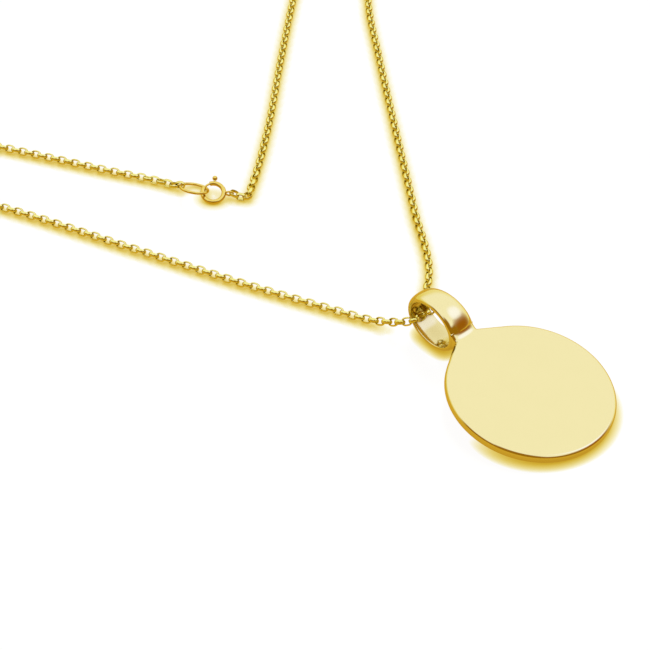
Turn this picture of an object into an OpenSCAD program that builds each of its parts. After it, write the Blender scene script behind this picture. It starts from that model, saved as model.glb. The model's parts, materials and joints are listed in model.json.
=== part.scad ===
// Plain round disc pendant on a fine belcher chain, laid flat with its
// bolt-ring clasp folded into the middle. Millimetres, +Z up, on z = 0.

/* [Disc] */
// Diameter of the round disc
disc_d = 30.4; // [28:0.2:32]
// Thickness of the disc
disc_t = 2; // [1.6:0.1:2.4]
// Radius of the rounded edge round both faces
disc_round = 0.75; // [0.3:0.05:0.9]

/* [Bail] */
// Length of the oval bail along the pendant
bail_l = 12.6; // [12:0.1:13]
// Height of the oval bail
bail_h = 9.9; // [9.7:0.1:10.4]
// Thickness of the bail's band
bail_wall = 1.25; // [1.1:0.05:1.3]
// Width of the band beside the disc
bail_w_near = 5.8; // [5.5:0.1:6.2]
// Width of the band at its far end
bail_w_far = 4.5; // [4.2:0.1:5]
// Distance from the disc's edge to the band
neck_l = 0.8; // [0.6:0.1:1.2]
// Width of the neck where it meets the band
neck_w = 5.5; // [5.2:0.1:5.6]
// Angle from the pendant's middle line at which the neck's sides leave the disc
neck_angle = 30; // [26:1:34]
// Radius of the hollow that leads from the disc's front face up to the band
neck_hollow = 2.2; // [1.8:0.1:2.4]
// How far the bail's centre lies behind the disc's middle plane
bail_drop = 0.6; // [0.4:0.1:0.8]

/* [Chain] */
// Diameter that a link's outline sweeps
chain_d = 2; // [1.9:0.05:2]
// Width of a link's band, measured along the link's own axis
link_w = 0.56; // [0.4:0.02:0.6]
// Thickness of a link's band, measured across the link
link_t = 0.28; // [0.2:0.02:0.3]

/* [Clasp] */
// Outer diameter of the bolt ring
clasp_d = 5; // [4.9:0.05:5.1]
// Diameter of the bolt ring's hollow tube
clasp_tube_d = 0.9; // [0.86:0.02:0.94]
// Bore of the tube that the bolt slides in
clasp_bore_d = 0.56; // [0.5:0.02:0.6]
// Diameter of the bolt's wire
bolt_d = 0.4; // [0.32:0.02:0.42]
// Diameter of the thumb knob on the bolt
knob_d = 1; // [0.9:0.02:1.1]
// How far the bolt turns back to open the ring, in degrees
bolt_travel = 48; // [30:1:48]
// Slope of the bolt ring as it lies, in degrees
clasp_lean = 22; // [20:1:24]
// Outer diameter of the small soldered eye
eye_d = 1.8; // [1.75:0.05:1.85]
// Diameter of the eye's wire
eye_wire_d = 0.38; // [0.3:0.02:0.4]
// Outer diameter of the jump ring
jump_d = 5.96; // [5.9:0.02:6]
// Diameter of the jump ring's wire
jump_wire_d = 0.56; // [0.5:0.02:0.58]

/* [Hidden] */
$fn = 96;
gold = [0.90, 0.72, 0.27];
pale_gold = [0.95, 0.90, 0.68];

// The bail's centre as the necklace lies
bail_x = -19;
bail_y = -41.2;

// The disc's far edge and the bail both touch the floor, which sets the pendant's slope
bail_reach = disc_d/2 + neck_l + bail_l/2;
flat_r = disc_d/2 - disc_round;
lever = bail_reach + flat_r;
half_step = disc_t/2 - bail_drop;
quad_a = lever*lever - bail_l*bail_l/4;
quad_b = 2*lever*half_step;
quad_c = half_step*half_step - bail_h*bail_h/4;
pendant_slope = atan((sqrt(quad_b*quad_b - 4*quad_a*quad_c) - quad_b)/(2*quad_a));
disc_lift = flat_r*sin(pendant_slope) + (disc_t/2 - disc_round)*cos(pendant_slope) + disc_round;
disc_y = bail_y - bail_reach*cos(pendant_slope) - bail_drop*sin(pendant_slope);

// Steps of the disc's rounded edge from its back to its front, as inset and height
front_steps = [for (a = [0 : 15 : 90])
    [disc_round*(1 - cos(a)), disc_t/2 - disc_round*(1 - sin(a))]];
rim_steps = concat([for (i = [len(front_steps) - 1 : -1 : 0]) [front_steps[i][0], -front_steps[i][1]]],
                   front_steps);

// Facets of the oval band: steps round it and how its edges are eased
bail_steps = 56;
edge_side = 0.62;
edge_ease = 0.15;
edge_top = 0.5;
inner_ease = 0.2;

// How far round the neck's upper hollow runs, in degrees, and the radius of its lower one
neck_rise = 48;
under_hollow = 0.6;

// The chain's middle line, from the jump ring's link round to the eye's link
floor_z = 0.93;
route = [
    [-26.1, 22.7, floor_z], [-33.0, 34.9, floor_z], [-43.0, 52.6, floor_z],
    [-49.0, 63.0, floor_z], [-54.5, 71.6, floor_z], [-60.5, 77.3, floor_z],
    [-66.3, 76.3, floor_z], [-68.9, 69.8, floor_z], [-67.0, 62.0, floor_z],
    [-61.5, 51.6, floor_z], [-55.0, 38.6, floor_z], [-44.5, 13.6, floor_z],
    [-34.5, -10.2, floor_z], [-27.2, -26.0, floor_z], [-25.2, -30.4, 1.1],
    [-23.9, -34.0, 2.3], [-23.0, -36.4, 3.4], [-21.7, -37.8, 4.1],
    [-19.0, -38.0, 4.2], [-16.3, -37.8, 4.1], [-15.0, -36.4, 3.4],
    [-13.9, -34.3, 2.3], [-12.2, -31.9, 1.1], [-9.0, -29.5, floor_z],
    [4.0, -13.1, floor_z], [20.0, 7.7, floor_z], [36.0, 28.3, floor_z],
    [46.5, 41.5, floor_z], [54.5, 49.8, floor_z], [61.8, 55.8, floor_z],
    [67.3, 61.6, floor_z], [68.9, 67.8, floor_z], [64.5, 71.9, floor_z],
    [56.5, 70.2, floor_z], [47.0, 63.4, floor_z], [36.0, 54.5, floor_z],
    [18.0, 39.4, floor_z], [0.0, 24.0, floor_z], [-12.2, 14.5, floor_z],
    [-15.9, 11.9, floor_z], [-17.3, 10.9, floor_z], [-18.2, 10.95, floor_z],
    [-18.85, 11.65, floor_z]
];
ring_spacing = 12;
ring_turn = 24;
tube_sides = 8;

// The links that hold the chain's two ends: centre, turn and tip of each
jump_link_at = [-25.6, 21.5, 1.42];
jump_link_turn = [90, 0, 117];
eye_link_at = [-19.35, 12.75, 1.24];
eye_link_turn = [0, 0, 0];

// The clasp's ring in its own flat frame: angles from the eye, in degrees
clasp_at = [-22.2, 15.7];
clasp_turn = -46;
clasp_r = (clasp_d - clasp_tube_d)/2;
clasp_lift = clasp_r*sin(clasp_lean) + clasp_tube_d/2 + 0.01;
gap_from = 112;
gap_to = 155;
seat_to = 169;
bore_from = 12;
knob_angle = 88;
bolt_from = 66;
bolt_to = 162;
slot_w = 0.52;
slot_end = 7;
slot_gap = 8;
stem_d = 0.34;
knob_r = 3.2;
eye_r = (eye_d - eye_wire_d)/2;
eye_x = clasp_d/2 + eye_r - eye_wire_d/4;

// The jump ring's centre in the clasp's flat frame, with its turn and its tip
jump_at = [-3.77, 0.63, 1.48];
jump_turn = -19;
jump_tip = -22;
jump_r = (jump_d - jump_wire_d)/2;

// Unit vector along v
function unit(v) = v/norm(v);

// Slope of the smooth curve at route point i, per unit of the curve's parameter
function before(i) = i > 0 ? route[i - 1] : 2*route[0] - route[1];
function after(i) = i < len(route) - 1 ? route[i + 1] : 2*route[i] - route[i - 1];
function slope(i) =
    let (a = norm(route[i] - before(i)), b = norm(after(i) - route[i]))
    ((route[i] - before(i))*b/a + (after(i) - route[i])*a/b)/(a + b);

// Point at fraction t of the way from route point i to the next, never under the floor's own level
function along(i, t) =
    let (p = route[i], q = route[i + 1], d = norm(q - p),
         c = (2*t*t*t - 3*t*t + 1)*p + (t*t*t - 2*t*t + t)*d*slope(i)
             + (3*t*t - 2*t*t*t)*q + (t*t*t - t*t)*d*slope(i + 1))
    [c[0], c[1], max(c[2], floor_z)];

// Turn of the curve between route point i and the next, in degrees
function turn(i) = acos(min(1, unit(slope(i))*unit(slope(i + 1))));

// Centres of the tube's rings, closer together where the route turns
function steps(i) = max(ceil(norm(route[i + 1] - route[i])/ring_spacing), ceil(turn(i)/ring_turn));
centres = concat(
    [for (i = [0 : len(route) - 2]) for (k = [0 : steps(i) - 1]) along(i, k/steps(i))],
    [route[len(route) - 1]]
);

// One ring of a tube round centre c, square to direction d, with a flat underneath
function tube_ring(c, d, r) =
    let (side = unit(cross([0, 0, 1], d)), up = cross(d, side))
    [for (k = [0 : tube_sides - 1])
        let (a = (k + 0.5)*360/tube_sides) c + r*(cos(a)*side + sin(a)*up)];

// Triangles of a strip between ring j and the next, each with n points
function strip(j, next, n) = [for (k = [0 : n - 1])
    let (m = (k + 1) % n) each [[j*n + k, next*n + m, j*n + m], [j*n + k, next*n + k, next*n + m]]];

// Tube of radius r swept along a list of centres
module tube(line, r) {
    last = len(line) - 1;
    rings = [for (j = [0 : last])
        let (d = unit(line[min(j + 1, last)] - line[max(j - 1, 0)])) each tube_ring(line[j], d, r)];
    sides = [for (j = [0 : last - 1]) each strip(j, j + 1, tube_sides)];
    start = [for (k = [1 : tube_sides - 2]) [0, k, k + 1]];
    end = [for (k = [1 : tube_sides - 2])
        [last*tube_sides, last*tube_sides + k + 1, last*tube_sides + k]];
    polyhedron(rings, concat(sides, start, end));
}

// One round belcher link lying flat, a ring of half-round band
module link() {
    r = chain_d/2;
    rotate_extrude()
        polygon([
            [r - link_t, -link_w/2 + 0.06], [r - link_t + 0.06, -link_w/2], [r - 0.12, -link_w/2],
            [r, -link_w/2 + 0.16], [r, link_w/2 - 0.16], [r - 0.12, link_w/2],
            [r - link_t + 0.06, link_w/2], [r - link_t, link_w/2 - 0.06]
        ]);
}

// Half the band's width where it is y from the bail's centre
function band_half(y) =
    (bail_w_near + (bail_w_far - bail_w_near)*(y + bail_l/2)/bail_l)/2;

// Outline of the band's section: across the pendant, then depth from the outside
function band_section(w) = [
    [w, -edge_side], [w - edge_ease, -0.26], [w - edge_top, -0.1], [w/2, -0.03],
    [0, 0], [-w/2, -0.03], [edge_top - w, -0.1], [edge_ease - w, -0.26], [-w, -edge_side],
    [-w, inner_ease - bail_wall], [inner_ease - w, -bail_wall],
    [w - inner_ease, -bail_wall], [w, inner_ease - bail_wall]
];

// The wide oval band that the chain runs through, round an axis across the pendant
module bail() {
    a = bail_l/2;
    b = bail_h/2;
    n = len(band_section(1));
    points = [for (j = [0 : bail_steps - 1])
        let (t = j*360/bail_steps, y = a*cos(t), z = b*sin(t), out = unit([cos(t)/a, sin(t)/b]))
        for (s = band_section(band_half(y))) [s[0], y + s[1]*out[0], z + s[1]*out[1]]];
    faces = [for (j = [0 : bail_steps - 1]) each strip(j, (j + 1) % bail_steps, n)];
    polyhedron(points, faces);
}

// The disc with a rounded edge round both faces
module disc() {
    t = disc_t/2;
    rotate_extrude()
        polygon(concat([[0, -t]], [for (s = rim_steps) [disc_d/2 - s[0], s[1]]], [[0, t]]));
}

// Distance from the disc's middle to the band's outside, at height z over the disc's middle plane
function band_y(z) =
    bail_reach - bail_l/2*sqrt(1 - pow((z + bail_drop)/(bail_h/2), 2));

// Outline of the neck from above, moved inwards by an inset: its sides leave the disc nearly along its edge
function neck_outline(inset) =
    let (root = disc_d/2 - 0.05 - inset, half = neck_w/2 - inset,
         side = [root*sin(neck_angle), root*cos(neck_angle)],
         shoulder = side[1] + (side[0] - half)*tan(neck_angle),
         tip = disc_d/2 + neck_l + bail_wall*0.8)
    [[0, side[1]], side, [half, shoulder], [half, tip],
     [-half, tip], [-half, shoulder], [-side[0], side[1]]];

// The flat part of the neck, with the disc's own rounded edge along its sides
module neck_plate() {
    n = len(neck_outline(0));
    last = len(rim_steps) - 1;
    points = [for (s = rim_steps) for (p = neck_outline(s[0])) [p[0], p[1], s[1]]];
    sides = [for (j = [0 : last - 1]) each strip(j, j + 1, n)];
    back = [for (k = [1 : n - 2]) [0, k, k + 1]];
    front = [for (k = [1 : n - 2]) [last*n, last*n + k + 1, last*n + k]];
    polyhedron(points, concat(sides, back, front));
}

// Outline of the neck's hollows from the side, where they lead up and down to the band
module neck_profile() {
    t = disc_t/2;
    tip = disc_d/2 + neck_l + bail_wall;
    top = t + neck_hollow*(1 - cos(neck_rise));
    start = band_y(top) + 0.03 - neck_hollow*sin(neck_rise);
    low_start = band_y(-t - under_hollow) + 0.08 - under_hollow;
    polygon(concat(
        [[start - 0.5, -t], [start - 0.5, t]],
        [for (a = [0 : neck_rise/4 : neck_rise])
            [start + neck_hollow*sin(a), t + neck_hollow*(1 - cos(a))]],
        [[tip, top], [tip, -t - under_hollow]],
        [for (a = [90 : -30 : 0])
            [low_start + under_hollow*sin(a), -t - under_hollow*(1 - cos(a))]]
    ));
}

// The short soldered neck, as wide as the band, that continues the disc's faces
module neck() {
    neck_plate();
    translate([-neck_w/2, 0, 0]) rotate([90, 0, 90]) linear_extrude(neck_w) neck_profile();
}

module pendant() {
    color(pale_gold)
        translate([bail_x, disc_y, disc_lift])
            rotate([pendant_slope, 0, 0])
                union() {
                    disc();
                    neck();
                    translate([0, bail_reach, -bail_drop]) bail();
                }
}

// The chain, with the link that holds each of its ends
module chain() {
    color(gold) {
        tube(centres, chain_d/2);
        translate(jump_link_at) rotate(jump_link_turn) link();
        translate(eye_link_at) rotate(eye_link_turn) link();
    }
}

// The clasp's flat frame, with the eye on +X and the ring's centre on z = 0
module clasp_frame() {
    translate([clasp_at[0], clasp_at[1], clasp_lift])
        rotate([0, 0, clasp_turn])
            rotate([clasp_lean, 0, 0]) children();
}

// Round bar of diameter d bent to radius r, from one angle to another
module bent_bar(r, d, from, to) {
    rotate([0, 0, from])
        rotate_extrude(angle = to - from) translate([r, 0]) circle(d = d);
}

module jump_ring() {
    color(gold)
        translate([clasp_at[0], clasp_at[1], 0])
            rotate([0, 0, clasp_turn])
                translate(jump_at)
                    rotate([0, 0, jump_turn]) rotate([jump_tip, 0, 0])
                        rotate_extrude() translate([jump_r, 0]) circle(d = jump_wire_d);
}

// Hollow open ring with its knob slot, its gap and the soldered eye
module clasp_ring() {
    slot_from = knob_angle - bolt_travel - slot_end;
    slot_to = knob_angle + slot_gap;
    color(gold)
        clasp_frame()
            union() {
                difference() {
                    bent_bar(clasp_r, clasp_tube_d, gap_to, gap_from + 360);
                    bent_bar(clasp_r, clasp_bore_d, bore_from, gap_from + 1);
                    bent_bar(clasp_r, clasp_bore_d, gap_to - 1, seat_to);
                    rotate([0, 0, slot_from])
                        rotate_extrude(angle = slot_to - slot_from)
                            translate([clasp_r, -slot_w/2]) square([clasp_tube_d, slot_w]);
                }
                translate([eye_x, 0, 0])
                    rotate([90, 0, 0])
                        rotate_extrude() translate([eye_r, 0]) circle(d = eye_wire_d);
            }
}

// The sprung bolt that closes the gap, with its thumb knob
module clasp_bolt() {
    color(gold)
        clasp_frame()
            union() {
                bent_bar(clasp_r, bolt_d, bolt_from, bolt_to);
                rotate([0, 0, knob_angle]) {
                    translate([clasp_r, 0, 0]) rotate([0, 90, 0]) cylinder(d = stem_d, h = knob_r - clasp_r);
                    translate([knob_r, 0, 0]) sphere(d = knob_d);
                }
            }
}

pendant();
chain();
jump_ring();
clasp_ring();
clasp_bolt();
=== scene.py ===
"""A plain gold disc pendant on its belcher chain, laid on a slightly glossy white table."""

import json
import math
import random

import bpy
import numpy as np
from mathutils import Matrix, Vector


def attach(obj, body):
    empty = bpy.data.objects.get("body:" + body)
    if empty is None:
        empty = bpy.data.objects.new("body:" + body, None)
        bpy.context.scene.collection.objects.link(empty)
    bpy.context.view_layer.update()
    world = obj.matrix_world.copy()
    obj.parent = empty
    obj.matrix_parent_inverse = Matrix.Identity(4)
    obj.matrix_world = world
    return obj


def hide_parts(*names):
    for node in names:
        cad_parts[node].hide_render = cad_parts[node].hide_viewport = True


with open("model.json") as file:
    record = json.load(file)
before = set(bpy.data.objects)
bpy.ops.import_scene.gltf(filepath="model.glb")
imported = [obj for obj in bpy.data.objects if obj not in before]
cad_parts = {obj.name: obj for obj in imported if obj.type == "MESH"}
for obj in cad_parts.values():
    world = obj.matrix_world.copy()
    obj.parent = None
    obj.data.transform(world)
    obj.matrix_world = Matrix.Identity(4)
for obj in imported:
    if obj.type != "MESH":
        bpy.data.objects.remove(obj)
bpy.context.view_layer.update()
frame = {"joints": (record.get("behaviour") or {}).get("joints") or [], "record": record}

# Sizes and places of the pieces are in millimetres, and MM turns them into metres
MM = 0.001

# Disc. Each face has two rings of edges, FACE_RING inside its rounded edge and FACE_INNER inside its
# outline, which keep the edge's shading off it. DISC_IN_WALL and NECK_IN_WALL are the shares of the
# bail's wall that the disc's tip and the neck's back reach into
DISC_D = 30.4
DISC_T = 2
DISC_ROUND = 0.75
DISC_SEGMENTS = 256
ROUND_STEPS = 12
FACE_RING = 0.03
FACE_INNER = 2
FACE_INNER_END = 0.05
DISC_IN_WALL = 0.8
NECK_IN_WALL = 0.84

# Bail. BAIL_DROP is how far its middle lies under the disc's. Its outside falls away by RIM_DEPTH at
# the rims, and a greater RIM_FULLNESS keeps it flatter before them
BAIL_L = 12.6
BAIL_H = 9.9
BAIL_WALL = 1.25
BAIL_W_NEAR = 5.8
BAIL_W_FAR = 4.5
BAIL_DROP = 0.6
BAIL_STEPS = 160
CROWN_STEPS = 12
RIM_DEPTH = 1.0
RIM_FULLNESS = 2.4
INNER_EASE = 0.22
INNER_EASE_STEPS = 4

# Neck. Its hollow is an arc that meets the bail's outside at the angle NECK_MEETS and ends inside the
# wall at NECK_RISE. The two SHY values keep the neck's faces out of the disc's own planes, and the two
# SEAT values are how far its hollows sink into the bail
NECK_L = 0.8
NECK_W = 5.5
NECK_ANGLE = 30
NECK_HOLLOW = 2.2
NECK_MEETS = 48
NECK_RISE = 52
NECK_STEPS = 13
NECK_SIDE_SHY = 0.004
NECK_FACE_SHY = 0.002
NECK_SEAT = 0.03
NECK_FLAT_STEPS = 4
NECK_EDGE_FROM = 80
NECK_EDGE_STEPS = 8
UNDER_HOLLOW = 0.6
UNDER_SEAT = 0.08
UNDER_STEPS = 6

# Chain. A link is a round of LINK_BREADTH whose halves are moved apart by LINK_STRETCH each, of wire
# LINK_W wide and LINK_T thick. The ROLL angles, in degrees, turn a link round the chain: 0 at its first
# end, ROLL_AT_END at its last, and ROLL_AT_REST from ROLL_EASE links on. ROUTE is the middle of the
# strand, from the jump ring to the clasp's eye
LINK_BREADTH = 1.68
LINK_STRETCH = 0.22
LINK_STRETCH_RATE = 3
LINK_W = 0.7
LINK_T = 0.32
LINK_FULLNESS = 0.6
LINK_CORNERS = 10
LINK_PITCH = 1.374
LINK_SIDES = 24
LINK_CLEAR = 0.01
ROLL_AT_REST = 45
ROLL_AT_END = 90
ROLL_EASE = 9
ROLL_JITTER = 5
ROLL_SEED = 11
ROUTE_STEPS = 40
FLOOR_Z = 0.93
ROUTE = [
    (-26.1, 22.7, FLOOR_Z), (-33.0, 34.9, FLOOR_Z), (-43.0, 52.6, FLOOR_Z),
    (-49.0, 63.0, FLOOR_Z), (-54.5, 71.6, FLOOR_Z), (-60.5, 77.3, FLOOR_Z),
    (-66.3, 76.3, FLOOR_Z), (-68.9, 69.8, FLOOR_Z), (-67.0, 62.0, FLOOR_Z),
    (-61.5, 51.6, FLOOR_Z), (-55.0, 38.6, FLOOR_Z), (-44.5, 13.6, FLOOR_Z),
    (-34.5, -10.2, FLOOR_Z), (-27.2, -26.0, FLOOR_Z), (-25.2, -30.4, 1.1),
    (-23.9, -34.0, 2.3), (-23.0, -36.4, 3.4), (-21.7, -37.8, 4.1),
    (-19.0, -38.0, 4.2), (-16.3, -37.8, 4.1), (-15.0, -36.4, 3.4),
    (-13.9, -34.3, 2.3), (-12.2, -31.9, 1.1), (-9.0, -29.5, FLOOR_Z),
    (4.0, -13.1, FLOOR_Z), (20.0, 7.7, FLOOR_Z), (36.0, 28.3, FLOOR_Z),
    (46.5, 41.5, FLOOR_Z), (54.5, 49.8, FLOOR_Z), (61.8, 55.8, FLOOR_Z),
    (67.3, 61.6, FLOOR_Z), (68.9, 67.8, FLOOR_Z), (64.5, 71.9, FLOOR_Z),
    (56.5, 70.2, FLOOR_Z), (47.0, 63.4, FLOOR_Z), (36.0, 54.5, FLOOR_Z),
    (18.0, 39.4, FLOOR_Z), (0.0, 24.0, FLOOR_Z), (-12.2, 14.5, FLOOR_Z),
    (-15.9, 11.9, FLOOR_Z), (-17.3, 10.9, FLOOR_Z), (-18.2, 10.95, FLOOR_Z),
    (-18.85, 11.65, FLOOR_Z),
]
JUMP_LINK_AT = (-25.6, 21.5, 1.42)
EYE_LINK_AT = (-19.35, 12.75, 1.24)

# Clasp. Angles along its ring are in degrees from the eye, and the bore is cut BORE_PAST the ring's
# ends. JUMP_AT is the jump ring's place from the clasp's middle, turned with the clasp, and its height
# over the table
CLASP_D = 5.0
CLASP_TUBE_D = 0.9
CLASP_BORE_D = 0.56
CLASP_TURN = -46
CLASP_LEAN = 22
CLASP_R = (CLASP_D - CLASP_TUBE_D) / 2
GAP_FROM = 112
GAP_TO = 155
BORE_FROM = 12
BORE_PAST = 1
SEAT_TO = 169
SLOT_FROM = 33
SLOT_TO = 96
SLOT_W = 0.52
SLOT_STEPS = 21
BOLT_D = 0.4
BOLT_FROM = 66
BOLT_TO = 162
KNOB_ANGLE = 88
KNOB_D = 1.0
KNOB_R = 3.2
KNOB_STEPS = 12
STEM_D = 0.34
EYE_D = 1.8
EYE_WIRE_D = 0.38
EYE_R = (EYE_D - EYE_WIRE_D) / 2
EYE_X = CLASP_D / 2 + EYE_R - EYE_WIRE_D / 4
JUMP_D = 5.96
JUMP_WIRE_D = 0.56
JUMP_AT = (-3.77, 0.63, 1.48)
JUMP_TURN = -19
JUMP_TIP = -22

# Gold plate. CLOUD is its uneven tone, and MARK its fine wiping marks. POLISH holds the shares of the
# roughness between the marks and on them. MARK_DEPTH is in metres
CLOUD_SCALE = 260.0
CLOUD_DETAIL = 3.0
CLOUD_SPAN = (0.35, 0.7)
MARK_SCALE = 1400.0
MARK_DETAIL = 4.0
MARK_SPAN = (0.3, 0.75)
MARK_DEPTH = 0.00002
POLISH = (0.75, 1.35)
WIPING_TURN = (0.3, 0.2, 0.6)
WIPING_STRETCH = (1.0, 0.04, 0.3)
# A dark gold that is painted into the base colour as shade, in crevices, between links and where parts
# meet
PAINTED_CREVICE_SHADE = (0.42, 0.28, 0.03)
# Shares of open space round a point, where the painted crevice shade begins and where it is strongest
CREVICE_SHADE_OPEN = 0.8
CREVICE_SHADE_SHUT = 0.25
CREVICE_SHADE_SAMPLES = 8

# Table, with TABLE_HALF in millimetres and PAINTED_GLOW_REACH in metres. Near the metal its white holds
# painted shadow and painted reflection of the gold, PAINTED_GLOW_DEPTH deep where nothing is open, and
# PAINTED_GLOW_KEPT is the share of red, green and blue that a depth of 1 leaves
TABLE_HALF = 3000
TABLE_SHEEN = 0.06
TABLE_ROUGHNESS = 0.3
# A painted golden bounce: the colour that the metal's reflections see in the table, standing in for light
# thrown back by the gold
PAINTED_BOUNCE_WARMTH = (0.77, 0.49, 0.06)
PAINTED_GLOW_REACH = 0.0019
PAINTED_GLOW_LEAN = (0.24, 0.17, 0.95)
PAINTED_GLOW_SAMPLES = 16
PAINTED_GLOW_POWER = 1.1
PAINTED_GLOW_DEPTH = 4.6
PAINTED_GLOW_KEPT = (("Red", 0.872), ("Green", 0.769), ("Blue", 0.368))
GLOW_WHITE = 1.02

# Studio. WHITE_FROM, WHITE_TO, SHADE_HIGH and SHADE_LOW are the upward part of a direction, from 0 at
# the horizon to 1 overhead. SHADE_FROM and SHADE_TO are how directly it faces CAMERA_SIDE
TENT_WHITE = (1.0, 1.0, 0.98)
TENT_GOLD = (0.83, 0.72, 0.20)
TENT_PALE = (0.95, 0.89, 0.52)
TENT_AMBER = (0.34, 0.12, 0.005)
TENT_SHADE = (0.33, 0.16, 0.006)
TENT_BOX = (1.10, 1.16, 1.7)
TENT_STRENGTH = 1.12
WHITE_FROM = 0.17
WHITE_TO = 0.57
PALE_SIDE = (0.98, 0.1, 0.0)
AMBER_SIDE = (0.56, -0.80, 0.26)
OPENING_SIDE = (-0.60, -0.56, 0.57)
BOX_SIDE = (0.54, -0.33, 0.78)
CAMERA_SIDE = (-0.766, -0.643, 0.0)
SHADE_FROM = 0.1
SHADE_TO = 0.4
SHADE_HIGH = 0.66
SHADE_LOW = 0.50

# Camera, which looks down on the necklace from -X and -Y. Its lens and sensor are in millimetres, and
# its places and clipping in metres
CAMERA_AT = (-0.2307, -0.21405, 0.2499)
CAMERA_AIM = (-0.0315, -0.025, 0.0)
CAMERA_ROLL = 3.4
CAMERA_LENS = 113.3
CAMERA_SENSOR = 36
CAMERA_NEAREST = 0.02
CAMERA_FARTHEST = 20


def turned(angle, axis):
    """Rotation by an angle in degrees, as a 4 by 4 matrix."""
    return Matrix.Rotation(math.radians(angle), 4, axis)


def shade(mesh, sharp):
    """Smooth shading, broken where two faces meet at more than this angle in degrees."""
    mesh.polygons.foreach_set("use_smooth", [True] * len(mesh.polygons))
    mesh.set_sharp_from_angle(angle=math.radians(sharp))


def mesh_object(name, points, faces, place=Matrix(), sharp=35):
    """A mesh from points in millimetres, placed by a matrix whose own unit is the millimetre."""
    mesh = bpy.data.meshes.new(name)
    mesh.from_pydata([place @ Vector(p) * MM for p in points], [], faces)
    mesh.validate()
    shade(mesh, sharp)
    made = bpy.data.objects.new(name, mesh)
    bpy.context.scene.collection.objects.link(made)
    return made


def skin(rings, closed=False):
    """Points and faces of a surface through rings of equal count, capped unless it closes on itself."""
    count = len(rings[0])
    last = len(rings) if closed else len(rings) - 1
    points = [p for ring in rings for p in ring]
    faces = []
    for j in range(last):
        here = j * count
        there = (j + 1) % len(rings) * count
        for k in range(count):
            m = (k + 1) % count
            faces.append((here + k, here + m, there + m, there + k))
    if not closed:
        faces.append(tuple(range(count))[::-1])
        faces.append(tuple(range((len(rings) - 1) * count, len(rings) * count)))
    return points, faces


def flipped(faces):
    """The same faces, seen from the other side."""
    return [f[::-1] for f in faces]


def arc(cx, cy, r, start, end, steps):
    """Points on an arc in a plane, with both its ends."""
    angles = (math.radians(start + (end - start) * i / steps) for i in range(steps + 1))
    return [(cx + r * math.cos(a), cy + r * math.sin(a)) for a in angles]


def bent_bar(radius, diameter, start, end, place, name, sides=20, step=3.0):
    """Round bar bent to a radius in the XY plane. From 0 to 360 it is a whole ring."""
    closed = end - start >= 360
    count = max(2, round((end - start) / step))
    rings = []
    for i in range(count if closed else count + 1):
        a = math.radians(start + (end - start) * i / count)
        rings.append([
            ((radius + x) * math.cos(a), (radius + x) * math.sin(a), z)
            for x, z in arc(0, 0, diameter / 2, 0, 360, sides)[:-1]
        ])
    points, faces = skin(rings, closed)
    return mesh_object(name, points, flipped(faces), place)


def revolved(profile, place, name, segments):
    """A solid turned round Z from a profile of radius and height, with both ends on the axis."""
    inner = profile[1:-1]
    points = [(0, 0, profile[0][1])]
    for i in range(segments):
        a = 2 * math.pi * i / segments
        points += [(r * math.cos(a), r * math.sin(a), z) for r, z in inner]
    points.append((0, 0, profile[-1][1]))
    count = len(inner)
    faces = []
    for i in range(segments):
        here = 1 + i * count
        there = 1 + (i + 1) % segments * count
        faces.append((0, there, here))
        faces += [(here + k, there + k, there + k + 1, here + k + 1) for k in range(count - 1)]
        faces.append((len(points) - 1, here + count - 1, there + count - 1))
    return mesh_object(name, points, faces, place)


def combine(target, tool, operation):
    """Joins or cuts two solids, keeps the result in the first and deletes the second."""
    change = target.modifiers.new(operation, "BOOLEAN")
    change.operation = operation
    change.solver = "MANIFOLD"
    change.object = tool
    evaluated = target.evaluated_get(bpy.context.evaluated_depsgraph_get())
    mesh = bpy.data.meshes.new_from_object(evaluated)
    target.modifiers.clear()
    old = target.data
    target.data = mesh
    bpy.data.meshes.remove(old)
    bpy.data.objects.remove(tool)
    return target


class Nodes:
    """Short calls for building a node tree. A value that is a socket is linked, any other is set."""

    def __init__(self, tree):
        self.tree = tree
        tree.nodes.clear()

    def add(self, kind, settings=(), **inputs):
        """A node with its settings, and its inputs by name with _ for a space."""
        made = self.tree.nodes.new(kind)
        for key, value in dict(settings).items():
            setattr(made, key, value)
        for key, value in inputs.items():
            self.set(made, key.replace("_", " "), value)
        return made

    def set(self, made, socket, value):
        """One input of a node, by its name or by its number written as text."""
        target = made.inputs[int(socket)] if socket.isdigit() else made.inputs[socket]
        if isinstance(value, bpy.types.NodeSocket):
            self.tree.links.new(value, target)
        else:
            target.default_value = value

    def math(self, operation, a, b=0.0, clamp=False):
        """One step of arithmetic on two values."""
        made = self.add("ShaderNodeMath", {"operation": operation, "use_clamp": clamp})
        self.set(made, "0", a)
        self.set(made, "1", b)
        return made.outputs[0]

    def span(self, value, low, high, to_low=0.0, to_high=1.0, smooth=False):
        """A value moved from one range to another, and held at its ends."""
        kind = "SMOOTHSTEP" if smooth else "LINEAR"
        made = self.add("ShaderNodeMapRange", {"interpolation_type": kind})
        for socket, given in zip(("Value", "From Min", "From Max", "To Min", "To Max"),
                                 (value, low, high, to_low, to_high)):
            self.set(made, socket, given)
        return made.outputs[0]

    def mix(self, factor, a, b):
        """Two colours mixed."""
        made = self.add("ShaderNodeMix", {"data_type": "RGBA"})
        self.set(made, "0", factor)
        self.set(made, "6", a)
        self.set(made, "7", b)
        return made.outputs[2]

    def join(self, factor, a, b):
        """Two shaders mixed."""
        made = self.add("ShaderNodeMixShader")
        self.set(made, "0", factor)
        self.set(made, "1", a)
        self.set(made, "2", b)
        return made.outputs[0]


def rgb(r, g, b):
    """A colour as a socket takes it."""
    return (r, g, b, 1.0)


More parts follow.
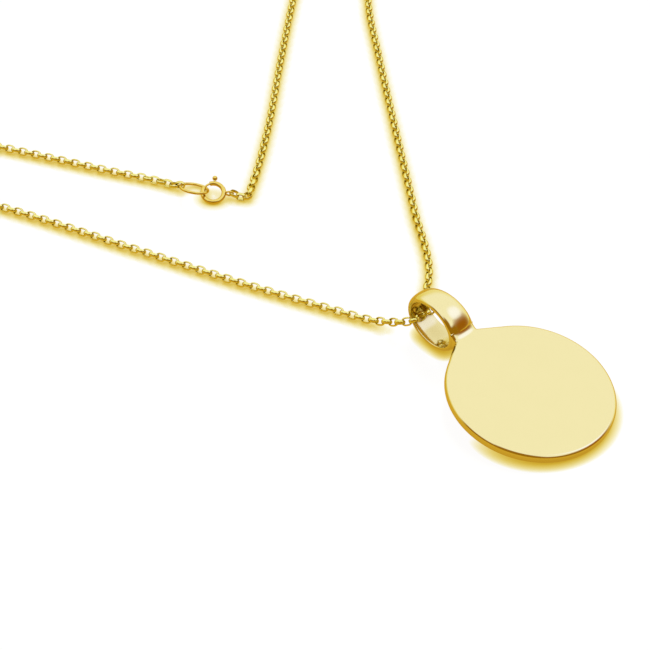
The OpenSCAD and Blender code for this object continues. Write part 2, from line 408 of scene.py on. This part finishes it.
def gold(name, colour, deep, roughness, scratch, painted_shade, reach):
    """Polished gold plate: uneven tone and polish, fine wiping marks, and painted shade that darkens it
    in its crevices.
    """
    material = bpy.data.materials.new(name)
    material.use_nodes = True
    n = Nodes(material.node_tree)
    place = n.add("ShaderNodeTexCoord").outputs["Object"]
    cloud = n.add("ShaderNodeTexNoise", Vector=place, Scale=CLOUD_SCALE, Detail=CLOUD_DETAIL)
    tone = n.span(cloud.outputs["Fac"], *CLOUD_SPAN)
    metal = n.add("ShaderNodeBsdfPrincipled", Metallic=1.0)
    plate = n.mix(tone, rgb(*colour), rgb(*deep))
    # Painted shade: where ambient occlusion finds little open space, the base colour darkens towards the
    # crevice gold, as far as the given share
    around = n.add("ShaderNodeAmbientOcclusion", {"samples": CREVICE_SHADE_SAMPLES}, Distance=reach)
    painted_shade_share = n.span(around.outputs["AO"], CREVICE_SHADE_OPEN, CREVICE_SHADE_SHUT, 0.0, painted_shade)
    n.set(metal, "Base Color", n.mix(painted_shade_share, plate, rgb(*PAINTED_CREVICE_SHADE)))
    wiping = n.add("ShaderNodeMapping", {"vector_type": "TEXTURE"}, Vector=place)
    wiping.inputs["Rotation"].default_value = WIPING_TURN
    wiping.inputs["Scale"].default_value = WIPING_STRETCH
    marks = n.add("ShaderNodeTexNoise", Vector=wiping.outputs[0], Scale=MARK_SCALE, Detail=MARK_DETAIL)
    smooth, dull = (roughness * share for share in POLISH)
    n.set(metal, "Roughness", n.span(marks.outputs["Fac"], *MARK_SPAN, smooth, dull))
    bump = n.add("ShaderNodeBump", Height=marks.outputs["Fac"], Strength=scratch, Distance=MARK_DEPTH)
    n.set(metal, "Normal", bump.outputs[0])
    out = n.add("ShaderNodeOutputMaterial")
    n.set(out, "Surface", metal.outputs[0])
    return material


def band_half(y):
    """Half the bail's width where it is y from its centre."""
    return (BAIL_W_NEAR + (BAIL_W_FAR - BAIL_W_NEAR) * (y + BAIL_L / 2) / BAIL_L) / 2


def rim_depth(share):
    """How far the bail's outside falls away at a share of its half width."""
    return RIM_DEPTH * (1 - (1 - min(1, abs(share)) ** RIM_FULLNESS) ** (1 / RIM_FULLNESS))


def band_section(half):
    """The bail's section: across the pendant, then depth from its outside, which is softly crowned."""
    angles = [math.radians(90 * i / CROWN_STEPS) for i in range(-CROWN_STEPS, CROWN_STEPS + 1)]
    shares = [math.copysign(abs(math.sin(a)) ** (2 / RIM_FULLNESS), a) for a in angles]
    outside = [(half * share, -rim_depth(share)) for share in shares]
    low_right = [(half - INNER_EASE + x, INNER_EASE - BAIL_WALL + z)
                 for x, z in arc(0, 0, INNER_EASE, 0, -90, INNER_EASE_STEPS)]
    low_left = [(-x, z) for x, z in low_right[::-1]]
    inside = [(x * (half - INNER_EASE), -BAIL_WALL) for x in (0.5, 0, -0.5)]
    return outside + low_right + inside + low_left


def bail(place):
    """The wide oval band, swept round an axis across the pendant."""
    a = BAIL_L / 2
    b = BAIL_H / 2
    rings = []
    for j in range(BAIL_STEPS):
        t = 2 * math.pi * j / BAIL_STEPS
        y = a * math.cos(t)
        z = b * math.sin(t)
        out = Vector((math.cos(t) / a, math.sin(t) / b)).normalized()
        section = band_section(band_half(y))
        rings.append([(x, y + depth * out[0], z + depth * out[1]) for x, depth in section])
    points, faces = skin(rings, closed=True)
    return mesh_object("bail", points, flipped(faces), place)


def disc_outline(inset, tip):
    """The disc's outline with the neck's straight shoulders, moved inwards by an inset."""
    r = DISC_D / 2 - inset
    half = NECK_W / 2 - inset
    slope = math.radians(NECK_ANGLE)
    corner = (r - half * math.sin(slope)) / math.cos(slope)
    side = [(r * math.sin(slope), r * math.cos(slope)), (half, corner)]
    right = [(half, tip)] + side[::-1]
    round_edge = arc(0, 0, r, 90 - NECK_ANGLE, NECK_ANGLE - 270, DISC_SEGMENTS)[1:-1]
    return right + round_edge + [(-x, y) for x, y in right[::-1]]


def disc():
    """The disc and the flat part of its neck, with a rounded edge round both faces."""
    t = DISC_T / 2
    e = DISC_ROUND
    tip = DISC_D / 2 + NECK_L + BAIL_WALL * DISC_IN_WALL
    edge = [(e - x, t - e + z, tip) for x, z in arc(0, 0, e, 0, 90, ROUND_STEPS)]
    ring = (e + FACE_RING, t, tip - FACE_RING)
    upper = edge + [ring, (FACE_INNER, t, DISC_D / 2 - FACE_INNER_END)]
    layers = [(inset, -z, end) for inset, z, end in upper[::-1]] + upper
    rings = [[(x, y, z) for x, y in disc_outline(inset, end)] for inset, z, end in layers]
    points, faces = skin(rings)
    return mesh_object("disc", points, flipped(faces))


def band_y(z):
    """Distance from the disc's middle to the bail's outside, at a height over the disc's middle plane."""
    reach = DISC_D / 2 + NECK_L + BAIL_L / 2
    return reach - BAIL_L / 2 * math.sqrt(1 - ((z + BAIL_DROP) / (BAIL_H / 2)) ** 2)


def neck_places():
    """Places across the neck, each with how far the rounded edge has dropped there."""
    half = NECK_W / 2 - NECK_SIDE_SHY
    flat = half - DISC_ROUND
    places = [(flat * i / NECK_FLAT_STEPS, 0) for i in range(NECK_FLAT_STEPS + 1)]
    places += [(flat + x, DISC_ROUND - z)
               for x, z in arc(0, 0, DISC_ROUND, NECK_EDGE_FROM, 0, NECK_EDGE_STEPS)]
    return [(-x, drop) for x, drop in places[:0:-1]] + places


def neck():
    """The hollowed block that leads from the disc's faces up and down to the bail."""
    t = DISC_T / 2
    meets = math.radians(NECK_MEETS)
    top = t + NECK_HOLLOW * (1 - math.cos(meets))
    start = band_y(top) + NECK_SEAT - NECK_HOLLOW * math.sin(meets)
    low = band_y(-t - UNDER_HOLLOW) + UNDER_SEAT - UNDER_HOLLOW
    tip = DISC_D / 2 + NECK_L + BAIL_WALL * NECK_IN_WALL
    rings = []
    for x, drop in neck_places():
        rim = rim_depth(x / band_half(-BAIL_L / 2))
        upper = []
        for i in range(NECK_STEPS + 1):
            a = math.radians(NECK_RISE * i / NECK_STEPS)
            r = NECK_HOLLOW + drop + (rim - drop) * i / NECK_STEPS
            upper.append((x, start + r * math.sin(a), t + NECK_HOLLOW - NECK_FACE_SHY - r * math.cos(a)))
        lower = []
        for i in range(UNDER_STEPS + 1):
            a = math.radians(90 - 90 * i / UNDER_STEPS)
            r = UNDER_HOLLOW + drop
            lower.append((x, low + r * math.sin(a), NECK_FACE_SHY - t - UNDER_HOLLOW + r * math.cos(a)))
        back = [(x, tip, upper[-1][2]), (x, tip, lower[0][2])]
        rings.append([(x, start, 0)] + upper + back + lower)
    points, faces = skin(rings)
    return mesh_object("neck", points, flipped(faces))


def pendant():
    """Disc, neck and bail as one soldered piece, joined at the origin and then placed by its face."""
    face = next(m for m in frame["record"]["mounts"] if m["name"] == "disc_front")
    normal = Vector(face["axis"])
    centre = Vector(face["pos_m"]) / MM - normal * DISC_T / 2
    slope = Matrix.Rotation(math.atan2(-normal.y, normal.z), 4, "X")
    place = Matrix.Translation(centre) @ slope
    bail_at = Matrix.Translation((0, DISC_D / 2 + NECK_L + BAIL_L / 2, -BAIL_DROP))
    whole = combine(disc(), neck(), "UNION")
    whole = combine(whole, bail(bail_at), "UNION")
    whole.data.transform(Matrix.Scale(MM, 4) @ place @ Matrix.Scale(1 / MM, 4))
    whole.name = "pendant_gold"
    shade(whole.data, sharp=32)
    return whole


def smooth_route(points):
    """A fine line through the route's points, with the same smooth slope at each as the source's."""
    p = [Vector(q) for q in points]
    before = [2 * p[0] - p[1]] + p[:-1]
    after = p[1:] + [2 * p[-1] - p[-2]]
    slopes = []
    for q, b, a in zip(p, before, after):
        near = (q - b).length
        far = (a - q).length
        slopes.append(((q - b) * far / near + (a - q) * near / far) / (near + far))
    line = []
    for i in range(len(p) - 1):
        d = (p[i + 1] - p[i]).length
        for k in range(ROUTE_STEPS):
            t = k / ROUTE_STEPS
            c = ((2 * t**3 - 3 * t**2 + 1) * p[i] + (t**3 - 2 * t**2 + t) * d * slopes[i]
                 + (3 * t**2 - 2 * t**3) * p[i + 1] + (t**3 - t**2) * d * slopes[i + 1])
            c.z = max(c.z, FLOOR_Z)
            line.append(c)
    line.append(p[-1])
    return line


def link_section():
    """A link's oval wire, fuller on its outside, as radius and width."""
    widest = LINK_BREADTH / 2 - LINK_T * LINK_FULLNESS
    section = []
    for i in range(LINK_CORNERS):
        a = 2 * math.pi * (i + 0.5) / LINK_CORNERS
        depth = LINK_FULLNESS if math.cos(a) > 0 else 1 - LINK_FULLNESS
        section.append((widest + LINK_T * depth * math.cos(a), -LINK_W / 2 * math.sin(a)))
    return section


def link_rings(centre, along, normal, section):
    """One link: its wire bent round, with the two halves of the round moved apart along the chain."""
    across = normal.cross(along)
    rings = []
    for k in range(LINK_SIDES):
        a = 2 * math.pi * k / LINK_SIDES
        spoke = along * math.cos(a) + across * math.sin(a)
        shift = along * LINK_STRETCH * max(-1, min(1, LINK_STRETCH_RATE * math.cos(a)))
        rings.append([centre + shift + spoke * r + normal * w for r, w in section])
    return rings


def chain_links():
    """Every link of the chain along its route, each turned a quarter from the one before it."""
    line = np.array(smooth_route([JUMP_LINK_AT] + ROUTE + [EYE_LINK_AT]))
    steps = np.linalg.norm(np.diff(line, axis=0), axis=1)
    run = np.concatenate([[0], np.cumsum(steps)])
    count = round(run[-1] / LINK_PITCH)
    at = np.linspace(0, run[-1], count + 1)
    centres = np.stack([np.interp(at, run, line[:, k]) for k in range(3)], axis=1)
    tangents = np.gradient(centres, axis=0)
    section = link_section()
    draw = random.Random(ROLL_SEED)
    final_roll = ROLL_AT_END - 90 * (count % 2)
    points = []
    faces = []
    for i, (centre, tangent) in enumerate(zip(centres, tangents)):
        along = Vector(tangent).normalized()
        side = Vector((0, 0, 1)).cross(along).normalized()
        up = along.cross(side)
        near = min(1, i / ROLL_EASE)
        far = min(1, (count - i) / ROLL_EASE)
        roll = ROLL_AT_REST * near + (1 - far) * (final_roll - ROLL_AT_REST)
        roll += 90 * (i % 2) + draw.uniform(-ROLL_JITTER, ROLL_JITTER) * near * far
        normal = side * math.cos(math.radians(roll)) + up * math.sin(math.radians(roll))
        link_points, link_faces = skin(link_rings(Vector(centre), along, normal, section), closed=True)
        lift = Vector((0, 0, max(0, LINK_CLEAR - min(p.z for p in link_points))))
        start = len(points)
        points += [p + lift for p in link_points]
        faces += [tuple(start + v for v in f) for f in link_faces]
    return mesh_object("chain_links", points, faces, sharp=50)


def clasp_centre():
    """The middle of the clasp's ring, which is the bolt's own hinge, in millimetres."""
    hinge = next(j for j in frame["joints"] if j["name"] == "bolt_turn")
    return Vector(hinge["pos_m"]) / MM


def clasp_place():
    """The clasp's flat frame, whose normal leans from upright."""
    return Matrix.Translation(clasp_centre()) @ turned(CLASP_TURN, "Z") @ turned(CLASP_LEAN, "X")


def clasp_ring():
    """Hollow open ring with its knob slot, its gap and the soldered eye."""
    place = clasp_place()
    ring = bent_bar(CLASP_R, CLASP_TUBE_D, GAP_TO, GAP_FROM + 360, place, "clasp_ring_gold", sides=28)
    for start, end in ((BORE_FROM, GAP_FROM + BORE_PAST), (GAP_TO - BORE_PAST, SEAT_TO)):
        combine(ring, bent_bar(CLASP_R, CLASP_BORE_D, start, end, place, "bore"), "DIFFERENCE")
    outer = CLASP_R + CLASP_TUBE_D
    half = SLOT_W / 2
    corners = ((CLASP_R, -half), (outer, -half), (outer, half), (CLASP_R, half))
    rings = []
    for i in range(SLOT_STEPS + 1):
        a = math.radians(SLOT_FROM + (SLOT_TO - SLOT_FROM) * i / SLOT_STEPS)
        rings.append([(r * math.cos(a), r * math.sin(a), z) for r, z in corners])
    points, faces = skin(rings)
    combine(ring, mesh_object("slot", points, flipped(faces), place), "DIFFERENCE")
    eye_at = place @ Matrix.Translation((EYE_X, 0, 0)) @ turned(90, "X")
    combine(ring, bent_bar(EYE_R, EYE_WIRE_D, 0, 360, eye_at, "eye", sides=16, step=9), "UNION")
    shade(ring.data, sharp=40)
    return ring


def clasp_bolt():
    """The sprung bolt that closes the ring's gap, with its stem and thumb knob."""
    place = clasp_place()
    bolt = bent_bar(CLASP_R, BOLT_D, BOLT_FROM, BOLT_TO, place, "clasp_bolt_gold", sides=16)
    knob_at = place @ turned(KNOB_ANGLE, "Z") @ turned(90, "Y")
    waist = math.degrees(math.asin(STEM_D / KNOB_D))
    ball = arc(0, KNOB_R, KNOB_D / 2, waist - 90, 90, KNOB_STEPS)
    profile = [(0, CLASP_R), (STEM_D / 2, CLASP_R)] + ball
    combine(bolt, revolved(profile, knob_at, "knob", segments=24), "UNION")
    shade(bolt.data, sharp=40)
    return bolt


def jump_ring():
    """The plain wire ring that joins the clasp to the chain's other end."""
    centre = clasp_centre()
    centre.z = 0
    place = (Matrix.Translation(centre) @ turned(CLASP_TURN, "Z") @ Matrix.Translation(JUMP_AT)
             @ turned(JUMP_TURN, "Z") @ turned(JUMP_TIP, "X"))
    radius = (JUMP_D - JUMP_WIRE_D) / 2
    return bent_bar(radius, JUMP_WIRE_D, 0, 360, place, "jump_ring_gold", step=4)


def floor():
    """A white table top with painted golden shadow and reflection close to the metal, and a painted
    golden bounce that only the metal's reflections see.
    """
    material = bpy.data.materials.new("white_table")
    material.use_nodes = True
    n = Nodes(material.node_tree)
    # Painted shadow and reflection: ambient occlusion round a fixed leaning normal tints the table's
    # white emission golden near the metal
    lean = n.add("ShaderNodeCombineXYZ", **dict(zip("XYZ", PAINTED_GLOW_LEAN)))
    near = n.add("ShaderNodeAmbientOcclusion", {"samples": PAINTED_GLOW_SAMPLES}, Distance=PAINTED_GLOW_REACH,
                 Normal=lean.outputs[0])
    hidden = n.math("SUBTRACT", 1.0, near.outputs["AO"], clamp=True)
    depth = n.math("MULTIPLY", n.math("POWER", hidden, PAINTED_GLOW_POWER), PAINTED_GLOW_DEPTH)
    painted_glow = n.add("ShaderNodeCombineColor")
    for channel, kept in PAINTED_GLOW_KEPT:
        n.set(painted_glow, channel, n.math("MULTIPLY", n.math("POWER", kept, depth), GLOW_WHITE))
    white = n.add("ShaderNodeEmission", Color=painted_glow.outputs[0])
    gloss = n.add("ShaderNodeBsdfGlossy", Color=rgb(1, 1, 1), Roughness=TABLE_ROUGHNESS)
    seen = n.join(TABLE_SHEEN, white.outputs[0], gloss.outputs[0])
    # Painted reflection: every ray but the camera's sees the table as a golden emission, standing in for
    # light bounced off the gold
    painted_bounce = n.add("ShaderNodeEmission", Color=rgb(*PAINTED_BOUNCE_WARMTH), Strength=1.0)
    direct = n.add("ShaderNodeLightPath").outputs["Is Camera Ray"]
    out = n.add("ShaderNodeOutputMaterial")
    n.set(out, "Surface", n.join(direct, painted_bounce.outputs[0], seen))
    far = TABLE_HALF
    corners = [(-far, -far, 0), (far, -far, 0), (far, far, 0), (-far, far, 0)]
    table = mesh_object("table", corners, [(0, 1, 2, 3)])
    table.data.materials.append(material)


def facing(n, direction, target):
    """How directly a direction faces a target: 1 towards it, 0 square to it."""
    dot = n.add("ShaderNodeVectorMath", {"operation": "DOT_PRODUCT"})
    n.set(dot, "0", direction)
    dot.inputs[1].default_value = Vector(target).normalized()
    return dot.outputs["Value"]


def toward(n, direction, target, inner, outer):
    """1 where a direction is within the inner angle of the target, and 0 past the outer one."""
    low = math.cos(math.radians(outer))
    high = math.cos(math.radians(inner))
    return n.span(facing(n, direction, target), low, high, smooth=True)


def studio():
    """Soft white light from above that turns golden towards the horizon, as in a lined light tent.

    The tent is shaded brown low on the camera's side and round the lens, paler at the far right and
    amber low on the right. A box light hangs high on the right.
    """
    world = bpy.data.worlds.new("studio")
    bpy.context.scene.world = world
    world.use_nodes = True
    n = Nodes(world.node_tree)
    direction = n.add("ShaderNodeTexCoord").outputs["Generated"]
    height = n.add("ShaderNodeSeparateXYZ", Vector=direction).outputs[2]
    pale = toward(n, direction, PALE_SIDE, inner=20, outer=75)
    low = n.mix(pale, rgb(*TENT_GOLD), rgb(*TENT_PALE))
    tent = n.mix(n.span(height, WHITE_FROM, WHITE_TO, smooth=True), low, rgb(*TENT_WHITE))
    amber = toward(n, direction, AMBER_SIDE, inner=2, outer=38)
    tent = n.mix(amber, tent, rgb(*TENT_AMBER))
    side = n.span(facing(n, direction, CAMERA_SIDE), SHADE_FROM, SHADE_TO, smooth=True)
    shaded = n.math("MULTIPLY", side, n.span(height, SHADE_HIGH, SHADE_LOW, smooth=True))
    tent = n.mix(shaded, tent, rgb(*TENT_SHADE))
    opening = toward(n, direction, OPENING_SIDE, inner=18, outer=30)
    tent = n.mix(opening, tent, rgb(*TENT_SHADE))
    box = toward(n, direction, BOX_SIDE, inner=2, outer=21)
    tent = n.mix(box, tent, rgb(*TENT_BOX))
    light = n.add("ShaderNodeBackground", Color=tent, Strength=TENT_STRENGTH)
    plain = n.add("ShaderNodeBackground", Color=rgb(1, 1, 1), Strength=1.0)
    seen = n.add("ShaderNodeLightPath").outputs["Is Camera Ray"]
    out = n.add("ShaderNodeOutputWorld")
    n.set(out, "Surface", n.join(seen, light.outputs[0], plain.outputs[0]))


def camera():
    """The photograph's view."""
    data = bpy.data.cameras.new("camera")
    data.lens = CAMERA_LENS
    data.sensor_width = CAMERA_SENSOR
    data.clip_start = CAMERA_NEAREST
    data.clip_end = CAMERA_FARTHEST
    made = bpy.data.objects.new("camera", data)
    bpy.context.scene.collection.objects.link(made)
    gaze = (Vector(CAMERA_AIM) - Vector(CAMERA_AT)).normalized()
    made.rotation_mode = "QUATERNION"
    made.rotation_quaternion = gaze.to_track_quat("-Z", "Y") @ turned(CAMERA_ROLL, "Z").to_quaternion()
    made.location = CAMERA_AT
    bpy.context.scene.camera = made


camera()
studio()
floor()
bpy.context.scene.view_settings.view_transform = "Standard"

# Each gold's last two values are the strongest share of painted crevice shade, and how far in metres it
# looks for enclosing metal
face_gold = gold("pendant_gold", colour=(0.80, 0.72, 0.39), deep=(0.795, 0.715, 0.385),
                 roughness=0.10, scratch=0.06, painted_shade=0.6, reach=0.008)
link_gold = gold("link_gold", colour=(0.82, 0.77, 0.28), deep=(0.80, 0.74, 0.24),
                 roughness=0.12, scratch=0.15, painted_shade=0.7, reach=0.0006)
clasp_gold = gold("clasp_gold", colour=(0.77, 0.61, 0.16), deep=(0.75, 0.58, 0.14),
                  roughness=0.10, scratch=0.12, painted_shade=0.9, reach=0.0006)

for made, node, body, slot, material in (
    (pendant(), "pendant", "necklace", "polished_gold", face_gold),
    (chain_links(), "chain", "necklace", "chain_gold", link_gold),
    (jump_ring(), "jump_ring", "necklace", "clasp_gold", clasp_gold),
    (clasp_ring(), "clasp_ring", "necklace", "clasp_gold", clasp_gold),
    (clasp_bolt(), "clasp_bolt", "bolt", "clasp_gold", clasp_gold),
):
    made.data.materials.clear()
    made.data.materials.append(material)
    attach(made, body)
    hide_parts(node)
